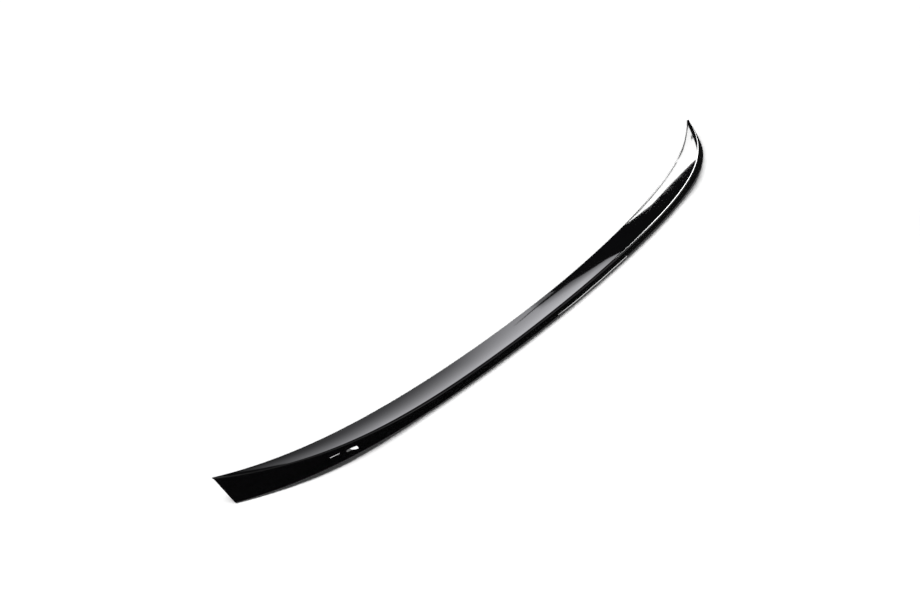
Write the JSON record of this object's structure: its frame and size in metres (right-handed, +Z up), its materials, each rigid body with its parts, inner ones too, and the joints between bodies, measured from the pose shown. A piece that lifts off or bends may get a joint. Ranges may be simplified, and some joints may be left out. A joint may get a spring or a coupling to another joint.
{
  "type": "rear lip spoiler",
  "caption": "Slim gloss-black lip spoiler for a car's boot lid: a bowed, one-piece moulded strip with a scooped top face, an overhanging crest and a rear wall that widens at the tips",
  "frame": {"origin": "middle of the footprint, on the plane of the flat foot", "axes": "+X along the lip, +Y towards the front of the car, +Z up from the foot"},
  "size_m": [1.1202, 0.1552, 0.0356],
  "materials": {
    "gloss_black_plastic": "smooth mirror-gloss black moulding"
  },
  "bodies": {
    "root": {"spoiler_lip": "gloss_black_plastic"}
  },
  "joints": []
}
